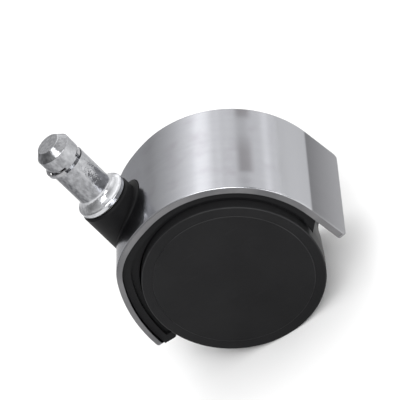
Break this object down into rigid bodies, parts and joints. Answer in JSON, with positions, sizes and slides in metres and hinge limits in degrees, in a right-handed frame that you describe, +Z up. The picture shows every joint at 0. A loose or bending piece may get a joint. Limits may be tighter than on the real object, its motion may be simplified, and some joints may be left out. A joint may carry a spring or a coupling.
{
  "type": "chair caster wheel",
  "caption": "Swivel caster for an office chair: twin wheels under an arched metal hood, on a plain stem with a spring grip ring.",
  "frame": {"origin": "on the swivel axis, where the stem's straight shank begins above the flared collar", "axes": "+Z up along the stem, +X from the stem towards the wheels' axle, +Y to the caster's left along the axle"},
  "size_m": [0.0635, 0.0362, 0.0815],
  "materials": {
    "stem_chrome": "bright chrome plate on turned steel",
    "ring_steel": "plated spring steel",
    "spring_steel": "plain spring steel, lightly oiled",
    "natural_nylon": "natural nylon, matt",
    "sintered_bronze": "oil-filled sintered bronze, dull",
    "housing_nylon": "black moulded nylon, fine matt grain",
    "hood_metal": "satin nickel plate, finely brushed across",
    "axle_steel": "ground steel",
    "wheel_nylon": "black moulded nylon",
    "tread": "black polyurethane, satin",
    "cap_plastic": "black moulded plastic, fine matt grain"
  },
  "bodies": {
    "stem_unit": {"stem": "stem_chrome", "grip_ring": "ring_steel", "stem_retaining_ring": "spring_steel"},
    "housing_unit": {"housing": "housing_nylon", "hood": "hood_metal", "thrust_washer": "natural_nylon", "swivel_bush": "sintered_bronze", "axle": "axle_steel", "spacer_washer_left": "natural_nylon", "axle_clip_left": "spring_steel", "spacer_washer_right": "natural_nylon", "axle_clip_right": "spring_steel"},
    "left_wheel": {"wheel_left": "wheel_nylon", "tyre_left": "tread", "wheel_cap_left": "cap_plastic", "wheel_bush_left": "sintered_bronze"},
    "right_wheel": {"wheel_right": "wheel_nylon", "tyre_right": "tread", "wheel_cap_right": "cap_plastic", "wheel_bush_right": "sintered_bronze"}
  },
  "joints": [
    {"name": "swivel", "type": "hinge", "parent": "stem_unit", "child": "housing_unit", "pos_m": [0, 0, 0], "axis": [0, 0, 1], "continuous": true},
    {"name": "left_wheel_spin", "type": "hinge", "parent": "housing_unit", "child": "left_wheel", "pos_m": [0.0184, 0, -0.0377], "axis": [0, 1, 0], "continuous": true},
    {"name": "right_wheel_spin", "type": "hinge", "parent": "housing_unit", "child": "right_wheel", "pos_m": [0.0184, 0, -0.0377], "axis": [0, 1, 0], "continuous": true}
  ]
}
